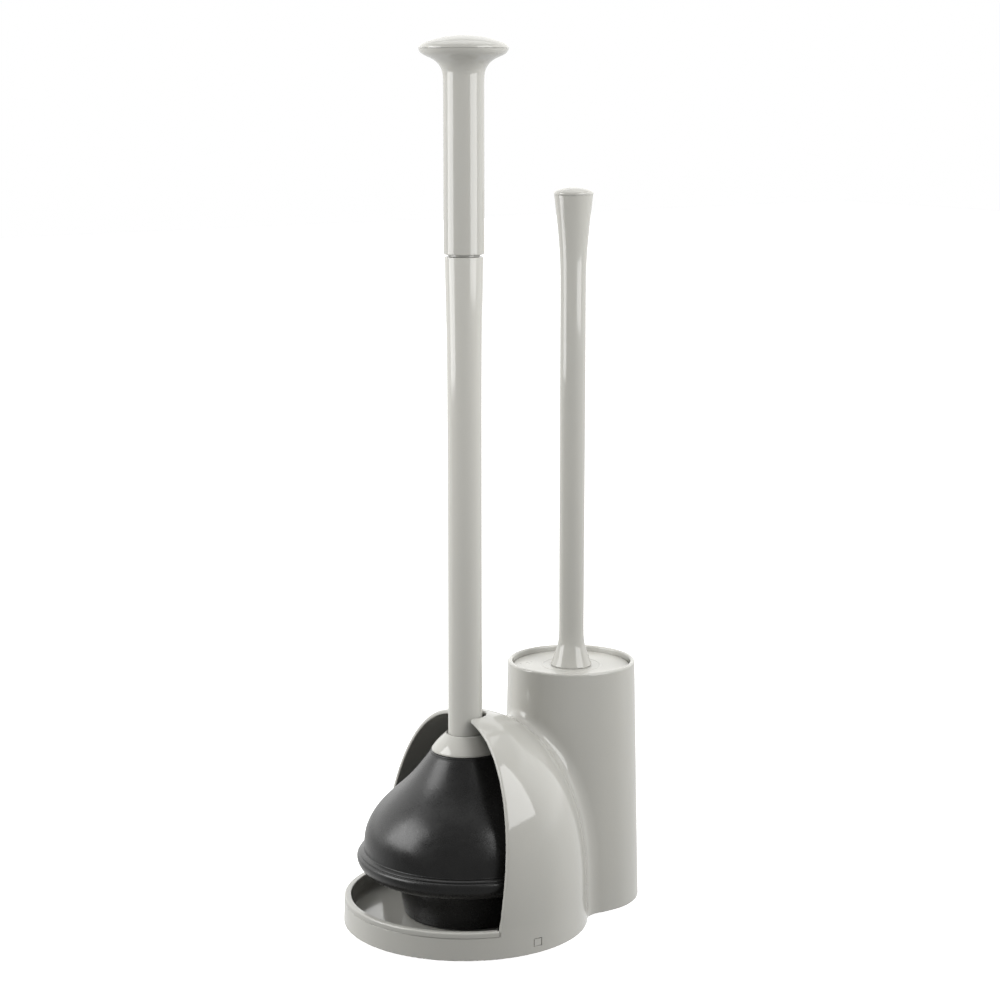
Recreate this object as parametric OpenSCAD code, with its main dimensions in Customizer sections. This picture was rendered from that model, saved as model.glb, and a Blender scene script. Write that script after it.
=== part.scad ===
// Toilet plunger and bowl brush in a shared caddy.
// +Z is up. The origin is on the floor, under the middle of the caddy.
// The brush well lies towards +X and the hood's open side faces -X.

/* [Caddy] */
// Outer radius of the round plunger bay at the floor
bay_r = 80; // [79:0.5:82]
// Height of the hood's crown
hood_h = 139.9; // [137:0.5:142]
// Wall thickness of the moulded shell
wall = 2.8; // [2.4:0.1:3]
// Distance between the plunger axis and the brush axis
axis_gap = 86; // [85:0.5:90]
// Outer radius of the brush well at the floor
well_r_low = 46; // [45:0.5:48]
// Outer radius of the brush well at its rim
well_r_top = 42.2; // [42:0.1:43]
// Height of the brush well
well_h = 162.6; // [161:0.2:166]
// Distance of the opening's cut from the plunger axis, at the floor
cut_near = 23.6; // [21:0.2:26]
// How much nearer to the axis the cut gets for each millimetre of height
cut_rake = 0.14; // [0.12:0.01:0.14]
// Turn of the opening away from the caddy's long axis, in degrees
cut_turn = 3.5; // [0:0.5:5]
// Radius of the handle notch in the hood's crown
notch_r = 13.4; // [13:0.1:14.5]

/* [Drip tray] */
// Height of the band that the tray's lip rests on
band_h = 14.9; // [14:0.1:15.5]
// Height of the tray's lip
lip_h = 18.4; // [18:0.1:19.5]
// Height of the tray's floor
tray_floor = 5.6; // [5.2:0.1:5.6]

/* [Plunger] */
// Largest radius of the rubber cup
cup_r = 71; // [68:0.5:71]
// Radius of the lower shaft at its middle
shaft_r = 10.9; // [10.9:0.1:11.2]
// Radius of the grip
grip_r = 12.85; // [12.8:0.05:13.5]
// Radius of the knob
knob_r = 28.1; // [26:0.1:31]
// Height of the grip's lower edge
grip_low = 435.6; // [430:0.2:460]
// Length of the grip from its lower edge to the knob's widest line
grip_len = 126.8; // [120:0.2:140]

/* [Brush] */
// Radius of the brush handle
brush_r = 8.3; // [8:0.1:9]
// Length of the brush handle above the lid
brush_len = 311; // [300:1:320]
// Radius of the bristle head
head_r = 28; // [24:0.5:28]

/* [Hidden] */
$fn = 96;

grey = [0.72, 0.71, 0.68];
black = [0.07, 0.07, 0.07];

rim_z = 0.4;                                   // the shell's lower edge stands this far off the floor
px = (bay_r - axis_gap - well_r_low) / 2;      // plunger axis
bx = px + axis_gap;                            // brush axis
plate_lo = 0.8;
plate_hi = 2.8;
ledge_z = well_h - 6.2;                        // seat of the brush lid
lid_top = well_h - 3.7;
shaft_top = grip_low - 1.5;
knob_z = grip_low + grip_len;                  // the knob's widest line
brush_top = lid_top + brush_len;

// Quarter of a superellipse from [r, z1] up to [0, zt]
function crown(r, z1, zt, n = 30) =
    [for (i = [0:n]) let (t = 90 * i / n) [r * pow(cos(t), 0.91), z1 + (zt - z1) * pow(sin(t), 0.87)]];

module lathe(pts) { rotate_extrude(convexity = 6) polygon(pts); }
module at_plunger() { translate([px, 0, 0]) children(); }
module at_brush() { translate([bx, 0, 0]) children(); }

// ---- caddy ----

module hood_body(inset = 0, low = 0) {
    r = bay_r - inset;
    at_plunger() lathe(concat([[0, low], [r, low]], crown(r - 0.6, 20, hood_h - inset)));
}

module well_body() {
    at_brush() lathe([[0, rim_z], [well_r_low, rim_z], [well_r_top + 0.03, well_h - 1.6],
                      [well_r_top - 0.45, well_h - 0.45], [well_r_top - 1.55, well_h], [0, well_h]]);
}

// Inner shape of the brush well, with the seat for the lid
module well_bore() {
    at_brush() lathe([[0, -1], [well_r_low - wall, -1], [well_r_top - wall - 1.4, ledge_z], [well_r_top - 3.2, ledge_z],
                      [well_r_top - 3.2, well_h - 1.2], [well_r_top - 2.2, well_h + 0.1], [well_r_top - 2.2, well_h + 5], [0, well_h + 5]]);
}

// Everything in front of the raked cut, from height lo up; gap moves the face towards the opening
module opening(lo, gap = 0) {
    at_plunger() rotate([0, 0, 180 - cut_turn])
        rotate([90, 0, 0]) linear_extrude(height = 240, center = true)
            polygon([[cut_near - cut_rake * lo + gap, lo], [150, lo], [150, 190], [cut_near - cut_rake * 190 + gap, 190]]);
}

module notch() {
    at_plunger() rotate([0, 0, 180 - cut_turn]) translate([0, 0, 118]) linear_extrude(height = 40)
        union() { circle(r = notch_r); translate([0, -notch_r]) square([40, 2 * notch_r]); }
}

// Windows that the base plate's catches click into
module catches(r_in, r_out, grow) {
    at_plunger() for (a = [-90, 90]) rotate([0, 0, a])
        translate([r_in, -2.6 - grow, 5.2 - grow]) cube([r_out - r_in, 5.2 + 2 * grow, 4.4 + 2 * grow]);
    at_brush() translate([r_in - bay_r + well_r_low, -2.6 - grow, 5.2 - grow])
        cube([r_out - r_in, 5.2 + 2 * grow, 4.4 + 2 * grow]);
}

// Upstands of the base plate, and with grow the pockets they slide into
module upstands(grow = 0) {
    at_plunger() for (a = [-90, 90]) rotate([0, 0, a]) translate([bay_r - wall - 0.7 - grow, -2.5 - grow, plate_lo - 2 * grow]) cube([1.9 + 2 * grow, 5 + 2 * grow, 8.5 + 3 * grow]);
    at_brush() translate([well_r_low - wall - 0.7 - grow, -2.5 - grow, plate_lo - 2 * grow]) cube([1.9 + 2 * grow, 5 + 2 * grow, 8.5 + 3 * grow]);
}

module plan_inside(inset) {
    translate([px, 0]) circle(r = bay_r - wall - inset);
    translate([bx, 0]) circle(r = well_r_low - wall - inset);
}

module caddy_shell() {
    color(grey) difference() {
        union() {
            hood_body(0, rim_z);
            well_body();
        }
        hood_body(wall, -1);
        difference() { well_bore(); hood_body(0, -2); }
        translate([0, 0, -1]) linear_extrude(height = plate_hi + 1.2) plan_inside(0);
        opening(band_h);
        notch();
        catches(bay_r - wall - 1, bay_r + 1, 0.15);
        upstands(0.2);
    }
}

module base_plate() {
    color(grey) union() {
        translate([0, 0, plate_lo]) linear_extrude(height = plate_hi - plate_lo) plan_inside(0.2);
        upstands();
        catches(bay_r - wall + 1, bay_r - 0.3, 0);
    }
}

module drip_tray() {
    r = bay_r - wall - 0.9;
    color(grey) union() {
        at_plunger() lathe([[0, plate_hi + 0.05], [r - 3, plate_hi + 0.05], [r - 1, 3.7], [r - 0.2, 5.4], [r, 7.2], [r, lip_h - 1.2], [r - 0.35, lip_h - 0.3],
                            [r - 0.7, lip_h - 0.05], [r - 1.1, lip_h - 0.35], [r - 1.35, lip_h - 1.1],
                            [r - 1.4, 8.2], [r - 2, 6.4], [r - 3.9, tray_floor], [0, tray_floor]]);
        // the lip that shows in the opening
        intersection() {
            at_plunger() lathe([[r - 1, band_h + 0.2], [bay_r - 0.35, band_h + 0.2], [bay_r - 0.35, band_h + 1.5], [bay_r - 0.7, band_h + 2.5],
                                [bay_r - 1.4, lip_h - 0.3], [bay_r - 2.2, lip_h], [r - 0.7, lip_h], [r - 1, lip_h - 0.5]]);
            opening(band_h - 2, 0.4);
        }
    }
}

module foot_pads() {
    color(black) {
        at_plunger() for (a = [35, 145, 215, 325]) rotate([0, 0, a]) translate([62, 0, 0]) cylinder(r = 7, h = plate_lo);
        at_brush() for (a = [-38, 38]) rotate([0, 0, a]) translate([32, 0, 0]) cylinder(r = 5, h = plate_lo);
    }
}

// ---- plunger ----

// The rubber is one moulding, drawn in three nodes: the bell, its rolled rim and the flange that folds out under it
rim_low = 31;
rim_top = 51.5;

module rubber_cup() {
    k = cup_r - 71;
    color(black) at_plunger() lathe([
        // outside, from the rim up to the neck
        [66.5 + k, rim_top], [66.1 + k, 57], [64.5 + k, 64], [60.6 + k, 72], [53.7, 80], [46.9, 86], [41.0, 92],
        [35.4, 98], [30.3, 104], [26.0, 109.6], [23.2, 113.2], [22.6, 114.6], [21.9, 114.9],
        // socket for the stud
        [8.8, 114.9], [8.8, 93], [0, 93],
        // inside, from the crown of the cavity down to the rim
        [0, 88.4], [12, 88.4], [15, 90.2], [17.4, 95], [20.4, 98.6], [23.6, 98.4], [27.6, 94.6], [33, 89.6], [38.8, 84.6], [45.2, 78.8],
        [52, 72.2], [57.8 + k, 65.4], [60.4 + k, 60], [61.6 + k, 54], [61.7 + k, rim_top]]);
}

module cup_rim() {
    k = cup_r - 71;
    color(black) at_plunger() lathe([
        [46.2, rim_low], [47.2, 32.3], [51, 33.6],
        [60 + k, 34.0], [64.6 + k, 35.2], [68.2 + k, 37.8], [70.4 + k, 41.2], [71 + k, 44.2], [70.5 + k, 46.8], [69.2 + k, 48.4],
        [66.6 + k, 50.2], [66.5 + k, rim_top], [61.7 + k, rim_top],
        [61.8 + k, 48.6], [61 + k, 43.6], [58 + k, 40.4], [50, 38.8], [43, 37.4], [39.6, 33.4], [39.2, rim_low]]);
}

module cup_flange() {
    z0 = tray_floor + 0.2;
    color(black) at_plunger() lathe([
        [33.6, z0], [38.6, z0], [40.0, z0 + 0.7], [40.6, z0 + 2.4], [41.4, 12], [42.4, 18], [43.4, 24], [44.8, 29],
        [46.2, rim_low], [39.2, rim_low], [38.4, 26], [37.4, 18], [36.2, 11], [35.2, z0 + 2]]);
}

// Coarse-threaded stud that ties the shaft, the collar and the rubber together
module cup_stud() {
    color(grey) at_plunger() lathe(concat(
        [[0, 93.4], [6.8, 93.4]],
        [for (i = [0:4]) each [[7.4, 94.6 + 4 * i], [8.5, 95.4 + 4 * i], [8.5, 96.6 + 4 * i], [7.4, 97.4 + 4 * i]]],
        [[8.2, 115.2], [8.2, 150], [6.9, 151.2], [0, 151.2]]));
}

module base_collar() {
    color(grey) at_plunger() lathe([[8.6, 115], [21.4, 115], [21.9, 115.5], [21.8, 116.2], [20.3, 118.5], [17.9, 121.3], [15.3, 123.9],
                                    [13.4, 125.7], [12.7, 126.2], [11.5, 126.3], [11.5, 119], [8.6, 119]]);
}

module lower_shaft() {
    r = shaft_r;
    color(grey) at_plunger() lathe([[8.4, 119.1], [r + 0.3, 119.1], [r + 0.3, 127], [r + 0.05, 200], [r, 340], [r + 0.1, 366], [r + 0.4, 388],
                                    [r + 0.75, 407], [r + 1.3, shaft_top - 0.5], [r + 0.9, shaft_top],
                                    [9.6, shaft_top], [9.6, 394], [8.4, 391]]);
}

module handle_coupler() {
    color(grey) at_plunger() lathe(concat(
        [[0, 394.6], [8.4, 394.6]],
        [for (i = [0:6]) each [[8.7, 397 + 4.6 * i], [9.4, 397.9 + 4.6 * i], [9.4, 399.1 + 4.6 * i], [8.7, 400 + 4.6 * i]]],
        [[9.45, 430], [9.45, shaft_top + 0.1], [10.2, shaft_top + 0.1], [10.2, grip_low - 0.1], [9.9, grip_low - 0.1],
         [9.9, grip_low + 34], [8.8, grip_low + 35.5], [6.6, grip_low + 35.5], [6.6, grip_low - 4], [0, grip_low - 4]]));
}

module upper_grip() {
    r = grip_r;
    k = knob_r - 28.1;
    z = knob_z;
    color(grey) at_plunger() lathe([[10, grip_low], [r - 0.3, grip_low], [r, grip_low + 0.4], [r - 0.05, z - 17.4], [r + 0.35, z - 15.2],
                                    [r + 0.95, z - 13.2], [r + 1.75, z - 11.3], [r + 2.9, z - 9.5], [17.2, z - 7.8], [19.6, z - 6], [22.2, z - 4.7], [25 + k, z - 3.6],
                                    [26.9 + k, z - 2.5], [27.8 + k, z - 1.2], [28.1 + k, z - 0.1],
                                    [25.2 + k, z - 0.1], [25.1 + k, z - 1.2], [10, z - 11.6]]);
}

module knob_cap() {
    z = knob_z;
    r = knob_r;
    color(grey) at_plunger() lathe([[0, z], [22.4, z], [22.4, z - 1.3], [24.4, z - 1.3], [24.6, z], [r, z], [r - 0.1, z + 0.9], [r - 0.7, z + 2],
                                    [r - 2.6, z + 3.5], [r - 5.2, z + 4.7], [r - 9, z + 6.1], [r - 13.6, z + 7.3], [r - 18.6, z + 8.2],
                                    [r - 23.4, z + 8.7], [0, z + 8.9]]);
}

// ---- brush ----

module bristles() {
    // soft outline of the tufts; the real ones spring from the core
    r = head_r;
    z = 118;
    color([0.93, 0.93, 0.91]) at_brush() lathe(concat(
        [[9.1, z - sqrt(r * r - 83)]],
        [for (a = [-66:6:0]) [r * cos(a), z + r * sin(a)]],
        [[r, z + 28], [r - 1.6, z + 32], [r - 5, z + 33.5], [9.1, z + 33.5]]));
}

module bristle_core() {
    color(grey) at_brush() lathe([[0, 96.4], [5, 97], [7.6, 98.8], [9, 102], [9, 151.4], [5.7, 151.4], [5.7, 108], [0, 108]]);
}

module brush_stem() {
    color(grey) at_brush() lathe([[0, 108.2], [4.6, 108.2], [5.6, 109.4], [5.6, 151.6], [8.6, 151.6], [9.4, 152.6], [9.4, ledge_z + 0.1], [5.6, ledge_z + 0.1],
                                  [5.6, 205], [4.6, 206.4], [0, 206.4]]);
}

module brush_lid() {
    color(grey) at_brush() lathe([[5.8, ledge_z + 0.2], [35.4, ledge_z + 0.2], [35.4, ledge_z - 7.4], [36.6, ledge_z - 7.4], [36.9, ledge_z + 0.2],
                                  [well_r_top - 3.7, ledge_z + 0.2], [well_r_top - 3.5, ledge_z + 0.4], [well_r_top - 3.5, lid_top - 0.5],
                                  [well_r_top - 4.0, lid_top], [20.1, lid_top], [19.7, lid_top + 0.25], [18.9, lid_top + 0.25], [18.5, lid_top], [5.8, lid_top]]);
}

module brush_handle() {
    r = brush_r;
    b = lid_top + 0.1;
    t = brush_top;
    color(grey) at_brush() lathe([[5.8, b], [13.4, b], [13.7, b + 0.3], [13.5, b + 0.9], [12.5, b + 2.9], [10.7, b + 8.3], [9.1, b + 13.8], [8.5, b + 18], [r, b + 23],
                                  [r, 243], [r + 0.05, 343], [r, 400], [r + 0.2, t - 47.5], [r + 0.7, t - 35.6], [r + 1.2, t - 29.1], [10.8, t - 16.3],
                                  [11.6, t - 9.6], [12.4, t - 2.8], [12.7, t - 0.7], [12.6, t],
                                  [10.2, t], [10.2, t - 5], [6.4, t - 30], [5.8, t - 60]]);
}

module brush_cap() {
    t = brush_top;
    color(grey) at_brush() lathe([[0, t + 0.1], [7.8, t + 0.1], [7.8, t - 4.6], [9.9, t - 4.6], [10.1, t + 0.1], [12.7, t + 0.1], [12.85, t + 1.2], [12.4, t + 2.1],
                                  [11.2, t + 2.9], [9, t + 3.8], [6, t + 4.6], [3, t + 5], [0, t + 5.1]]);
}

caddy_shell();
base_plate();
drip_tray();
foot_pads();
rubber_cup();
cup_rim();
cup_flange();
cup_stud();
base_collar();
lower_shaft();
handle_coupler();
upper_grip();
knob_cap();
bristles();
bristle_core();
brush_stem();
brush_lid();
brush_handle();
brush_cap();
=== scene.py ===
"""Plunger and bowl brush in their caddy: the looks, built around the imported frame."""

import math
import random

import bmesh
import bpy
import numpy as np
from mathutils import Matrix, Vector


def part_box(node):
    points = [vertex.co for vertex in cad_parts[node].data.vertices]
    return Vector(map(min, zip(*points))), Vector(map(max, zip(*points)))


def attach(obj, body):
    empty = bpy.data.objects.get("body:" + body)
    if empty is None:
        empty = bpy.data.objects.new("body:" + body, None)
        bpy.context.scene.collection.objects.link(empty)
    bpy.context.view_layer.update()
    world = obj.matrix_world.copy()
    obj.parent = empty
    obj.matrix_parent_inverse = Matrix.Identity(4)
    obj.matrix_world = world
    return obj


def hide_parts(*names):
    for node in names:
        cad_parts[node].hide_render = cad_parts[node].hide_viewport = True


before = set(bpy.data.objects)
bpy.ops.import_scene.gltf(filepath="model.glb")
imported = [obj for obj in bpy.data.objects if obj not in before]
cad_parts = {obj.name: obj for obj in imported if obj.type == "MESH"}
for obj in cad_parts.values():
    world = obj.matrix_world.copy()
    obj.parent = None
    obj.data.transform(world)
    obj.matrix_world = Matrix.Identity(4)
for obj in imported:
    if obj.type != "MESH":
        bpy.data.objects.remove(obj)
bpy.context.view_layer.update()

MM = 0.001


def mid_x(node):
    lo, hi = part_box(node)
    return (lo.x + hi.x) / 2 * 1000


PX = mid_x("lower_shaft")  # plunger axis, in mm
BX = mid_x("brush_handle")  # brush axis
SHAFT_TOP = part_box("lower_shaft")[1].z * 1000
GRIP_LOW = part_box("upper_grip")[0].z * 1000
KNOB_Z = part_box("knob_cap")[1].z * 1000 - 8.9
LID_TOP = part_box("brush_lid")[1].z * 1000 - 0.25
BRUSH_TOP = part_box("brush_handle")[1].z * 1000
WELL_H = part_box("caddy_shell")[1].z * 1000
LIP_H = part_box("drip_tray")[1].z * 1000
BAND_H = 14.9
TURN = math.radians(180 - 3.5)
NX, NY = math.cos(TURN), math.sin(TURN)  # direction the hood opens in


# ---------------------------------------------------------------- materials


class Nodes:
    """Small helper that adds and links shader nodes."""

    def __init__(self, name):
        self.mat = bpy.data.materials.new(name)
        self.mat.use_nodes = True
        self.tree = self.mat.node_tree
        self.bsdf = self.tree.nodes["Principled BSDF"]
        coord = self.tree.nodes.new("ShaderNodeTexCoord")
        self.obj = coord.outputs["Object"]

    def new(self, kind, **props):
        n = self.tree.nodes.new(kind)
        for k, v in props.items():
            setattr(n, k, v)
        return n

    def link(self, a, b):
        self.tree.links.new(a, b)

    def scaled(self, scale, rotation=(0, 0, 0)):
        m = self.new("ShaderNodeMapping")
        m.inputs["Scale"].default_value = scale
        m.inputs["Rotation"].default_value = rotation
        self.link(self.obj, m.inputs["Vector"])
        return m.outputs["Vector"]

    def noise(self, scale, detail=2.0, rough=0.5, distortion=0.0, vector=None):
        n = self.new("ShaderNodeTexNoise")
        n.inputs["Scale"].default_value = scale
        n.inputs["Detail"].default_value = detail
        n.inputs["Roughness"].default_value = rough
        n.inputs["Distortion"].default_value = distortion
        self.link(vector if vector is not None else self.obj, n.inputs["Vector"])
        return n.outputs["Fac"]

    def voronoi(self, scale, feature="F1", vector=None):
        n = self.new("ShaderNodeTexVoronoi", feature=feature)
        n.inputs["Scale"].default_value = scale
        self.link(vector if vector is not None else self.obj, n.inputs["Vector"])
        return n.outputs["Distance"]

    def span(self, value, a, b, c, d, smooth=False):
        n = self.new("ShaderNodeMapRange")
        if smooth:
            n.interpolation_type = "SMOOTHSTEP"
        n.clamp = True
        for k, v in zip(("From Min", "From Max", "To Min", "To Max"), (a, b, c, d)):
            n.inputs[k].default_value = v
        self.link(value, n.inputs["Value"])
        return n.outputs["Result"]

    def math(self, op, a, b=None):
        n = self.new("ShaderNodeMath", operation=op)
        for i, v in enumerate((a, b)):
            if v is None:
                continue
            if isinstance(v, (int, float)):
                n.inputs[i].default_value = v
            else:
                self.link(v, n.inputs[i])
        return n.outputs[0]

    def ramp(self, value, stops):
        n = self.new("ShaderNodeValToRGB")
        els = n.color_ramp.elements
        while len(els) < len(stops):
            els.new(0.5)
        for e, (p, c) in zip(els, stops):
            e.position = p
            e.color = (*c, 1)
        self.link(value, n.inputs["Fac"])
        return n.outputs["Color"]

    def mix(self, fac, a, b, kind="MIX"):
        n = self.new("ShaderNodeMix", data_type="RGBA", blend_type=kind)
        for name, v in (("Factor", fac), ("A", a), ("B", b)):
            s = [i for i in n.inputs if i.name == name and i.enabled][0]
            if isinstance(v, (int, float)):
                s.default_value = v
            elif isinstance(v, tuple):
                s.default_value = (*v, 1)
            else:
                self.link(v, s)
        return [o for o in n.outputs if o.enabled][0]

    def bump(self, height, distance, strength=1.0, normal=None):
        n = self.new("ShaderNodeBump")
        n.inputs["Strength"].default_value = strength
        n.inputs["Distance"].default_value = distance
        self.link(height, n.inputs["Height"])
        if normal is not None:
            self.link(normal, n.inputs["Normal"])
        return n.outputs["Normal"]

    def colour(self, out):
        self.link(out, self.bsdf.inputs["Base Color"])

    def rough(self, out):
        self.link(out, self.bsdf.inputs["Roughness"])

    def normal(self, out):
        self.link(out, self.bsdf.inputs["Normal"])


def tint(c, k, warm=0.0):
    return (c[0] * k * (1 + warm), c[1] * k, c[2] * k * (1 - warm))


def abs_plastic(name, base, rough=0.075, spread=0.03, peel=1.0, worn=0.05):
    """Glossy moulded ABS: faint flow marks, a moulded orange-peel skin, handling haze and hairline scratches."""
    m = Nodes(name)
    # colour: broad flow marks, then pigment specks
    flow = m.noise(14, 3, 0.55, 0.6, m.scaled((1, 1, 0.35)))
    speck = m.noise(2600, 2, 0.6)
    broad = m.ramp(flow, [(0.30, tint(base, 0.975, -0.004)), (0.55, base), (0.80, tint(base, 1.02, 0.004))])
    dots = m.span(speck, 0.35, 0.70, 0.985, 1.012)
    grey = m.new("ShaderNodeCombineColor")
    for i in range(3):
        m.link(dots, grey.inputs[i])
    m.colour(m.mix(1.0, broad, grey.outputs["Color"], "MULTIPLY"))
    # gloss: haze from hands and cloths, with hairline scratches
    haze = m.noise(38, 4, 0.6, 0.8)
    fine = m.noise(420, 2, 0.5)
    base_r = m.span(haze, 0.32, 0.72, rough - spread * 0.5, rough + spread)
    scr = m.noise(230, 1, 0.4, 0.3, m.scaled((1, 1, 0.03), (0.5, 0.3, 0)))
    lines = m.span(scr, 0.69, 0.74, 0.0, worn, True)
    r = m.math("ADD", base_r, lines)
    r = m.math("ADD", r, m.span(fine, 0.3, 0.7, -0.012, 0.012))
    m.rough(r)
    # skin
    skin = m.noise(330, 2, 0.45)
    wave = m.noise(45, 2, 0.5)
    b = m.bump(wave, 0.00003 * peel, 0.35)
    b = m.bump(skin, 0.000004 * peel, 0.4, b)
    m.normal(b)
    m.bsdf.inputs["IOR"].default_value = 1.5
    m.bsdf.inputs["Subsurface Weight"].default_value = 0.06
    m.bsdf.inputs["Subsurface Radius"].default_value = (0.0018, 0.0016, 0.0013)
    m.bsdf.inputs["Subsurface Scale"].default_value = 1.0
    return m.mat


def rubber_mat(name, dark=0.013, light=0.038, rough=(0.40, 0.60)):
    """Black moulded rubber: cloudy bloom, pits, and a fine matt grain."""
    m = Nodes(name)
    cloud = m.noise(26, 5, 0.62, 0.9)
    patch = m.noise(150, 4, 0.65, 0.4)
    grain = m.noise(2200, 3, 0.6)
    mixv = m.math("ADD", m.math("MULTIPLY", cloud, 0.6), m.math("MULTIPLY", patch, 0.4))
    col = m.ramp(mixv, [(0.34, (dark, dark, dark)), (0.52, ((dark + light) / 2,) * 3), (0.70, (light * 1.02, light, light * 0.96))])
    dust = m.span(m.noise(900, 3, 0.7), 0.66, 0.78, 0.0, 0.35, True)
    m.colour(m.mix(dust, col, (0.075, 0.073, 0.068)))
    r = m.span(mixv, 0.32, 0.70, rough[0], rough[1])
    m.rough(m.math("ADD", r, m.span(grain, 0.3, 0.7, -0.05, 0.05)))
    pits = m.span(m.voronoi(520), 0.0, 0.16, 0.0, 1.0)
    b = m.bump(cloud, 0.00045, 0.35)
    b = m.bump(patch, 0.00018, 0.4, b)
    b = m.bump(grain, 0.00003, 0.55, b)
    b = m.bump(pits, 0.00002, 0.35, b)
    m.normal(b)
    m.bsdf.inputs["IOR"].default_value = 1.47
    return m.mat


def nylon_mat(name):
    """Bristle nylon: milky, a little see-through, with slight yellowing from tuft to tuft."""
    m = Nodes(name)
    n = m.noise(160, 3, 0.6)
    streak = m.noise(900, 2, 0.5, 0.0, m.scaled((1, 1, 0.2)))
    col = m.ramp(n, [(0.3, (0.70, 0.69, 0.63)), (0.55, (0.80, 0.80, 0.76)), (0.8, (0.88, 0.88, 0.86))])
    m.colour(m.mix(m.span(streak, 0.35, 0.75, 0.0, 0.25), col, (0.92, 0.92, 0.90)))
    m.rough(m.span(streak, 0.3, 0.7, 0.26, 0.42))
    m.bsdf.inputs["Subsurface Weight"].default_value = 0.25
    m.bsdf.inputs["Subsurface Radius"].default_value = (0.002, 0.002, 0.0017)
    m.bsdf.inputs["Subsurface Scale"].default_value = 1.0
    m.bsdf.inputs["IOR"].default_value = 1.53
    return m.mat


def core_mat(name):
    """Satin polypropylene of the bristle core and stem."""
    m = Nodes(name)
    n = m.noise(40, 3, 0.6, 0.4)
    fine = m.noise(1500, 2, 0.6)
    m.colour(m.ramp(n, [(0.3, (0.66, 0.655, 0.62)), (0.7, (0.74, 0.735, 0.71))]))
    m.rough(m.span(fine, 0.3, 0.7, 0.34, 0.46))
    m.normal(m.bump(fine, 0.00003, 0.4))
    m.bsdf.inputs["Subsurface Weight"].default_value = 0.15
    m.bsdf.inputs["Subsurface Radius"].default_value = (0.003, 0.003, 0.0025)
    m.bsdf.inputs["Subsurface Scale"].default_value = 1.0
    return m.mat


def floor_mat(name):
    """Pale matt floor."""
    m = Nodes(name)
    n = m.noise(3, 4, 0.6)
    fine = m.noise(400, 3, 0.6)
    m.colour(m.ramp(n, [(0.3, (0.885, 0.885, 0.882)), (0.7, (0.905, 0.905, 0.903))]))
    m.rough(m.span(fine, 0.3, 0.7, 0.55, 0.7))
    m.normal(m.bump(fine, 0.00002, 0.2))
    m.bsdf.inputs["Emission Color"].default_value = (1, 1, 1, 1)
    m.bsdf.inputs["Emission Strength"].default_value = 0.60
    m.bsdf.inputs["Specular IOR Level"].default_value = 0.2
    return m.mat


GREY = (0.414, 0.408, 0.379)
plastic = abs_plastic("abs_warm_grey", GREY, 0.065, 0.025, 0.35)
# the shaft's copy of the grey is 12% lighter: painted light, making up for the light that falls off down the shaft; its
# slightly rougher gloss is the shaft's own
plastic_shaft_painted_light = abs_plastic("abs_warm_grey_shaft_painted_light", tint(GREY, 1.12), 0.075, 0.03, 0.4)
plastic_shell = abs_plastic("abs_warm_grey_shell", tint(GREY, 1.0), 0.07, 0.03, 1.6)
plastic_tray = abs_plastic("abs_warm_grey_tray", tint(GREY, 0.88), 0.11, 0.03, 0.4, 0.0)
plastic_satin = abs_plastic("abs_warm_grey_lid", tint(GREY, 1.03), 0.30, 0.04, 0.02, 0.0)
rubber = rubber_mat("rubber_black", 0.0012, 0.0065, (0.22, 0.36))
pad_rubber = rubber_mat("rubber_pads", 0.02, 0.05, (0.6, 0.8))
nylon = nylon_mat("nylon_bristle")
core = core_mat("polypropylene_core")


# ---------------------------------------------------------------- mesh helpers


def make(name, verts, faces, normals, material, body, replaces=()):
    """A mesh object from points in mm, with smooth custom normals, riding on a body."""
    me = bpy.data.meshes.new(name)
    v = np.asarray(verts, float) * MM
    me.from_pydata(v.tolist(), [], faces)
    me.update()
    me.shade_smooth()
    if normals is not None:
        me.normals_split_custom_set_from_vertices(np.asarray(normals, float).tolist())
    me.materials.append(material)
    ob = bpy.data.objects.new(name, me)
    bpy.context.scene.collection.objects.link(ob)
    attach(ob, body)
    if replaces:
        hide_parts(*replaces)
    return ob


def spline(points, step=1.0):
    """A curvature-smooth curve through (r, z) points, sampled about every step mm."""
    p = np.array(points, float)
    n = len(p)
    d = np.hypot(*np.diff(p, axis=0).T)
    h = np.sqrt(d)
    t = np.concatenate([[0], np.cumsum(h)])
    a = np.zeros((n, n))
    b = np.zeros((n, 2))
    a[0, 0] = a[-1, -1] = 1
    for i in range(1, n - 1):
        a[i, i - 1], a[i, i], a[i, i + 1] = h[i - 1], 2 * (h[i - 1] + h[i]), h[i]
        b[i] = 6 * ((p[i + 1] - p[i]) / h[i] - (p[i] - p[i - 1]) / h[i - 1])
    s = np.linalg.solve(a, b)
    out = []
    for i in range(n - 1):
        k = max(2, int(math.ceil(d[i] / step)))
        for j in range(k):
            u = j / k * h[i]
            w = h[i] - u
            out.append(
                s[i] * w**3 / (6 * h[i])
                + s[i + 1] * u**3 / (6 * h[i])
                + (p[i] / h[i] - s[i] * h[i] / 6) * w
                + (p[i + 1] / h[i] - s[i + 1] * h[i] / 6) * u
            )
    out.append(p[-1])
    return [(float(x), float(y)) for x, y in out]


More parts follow.
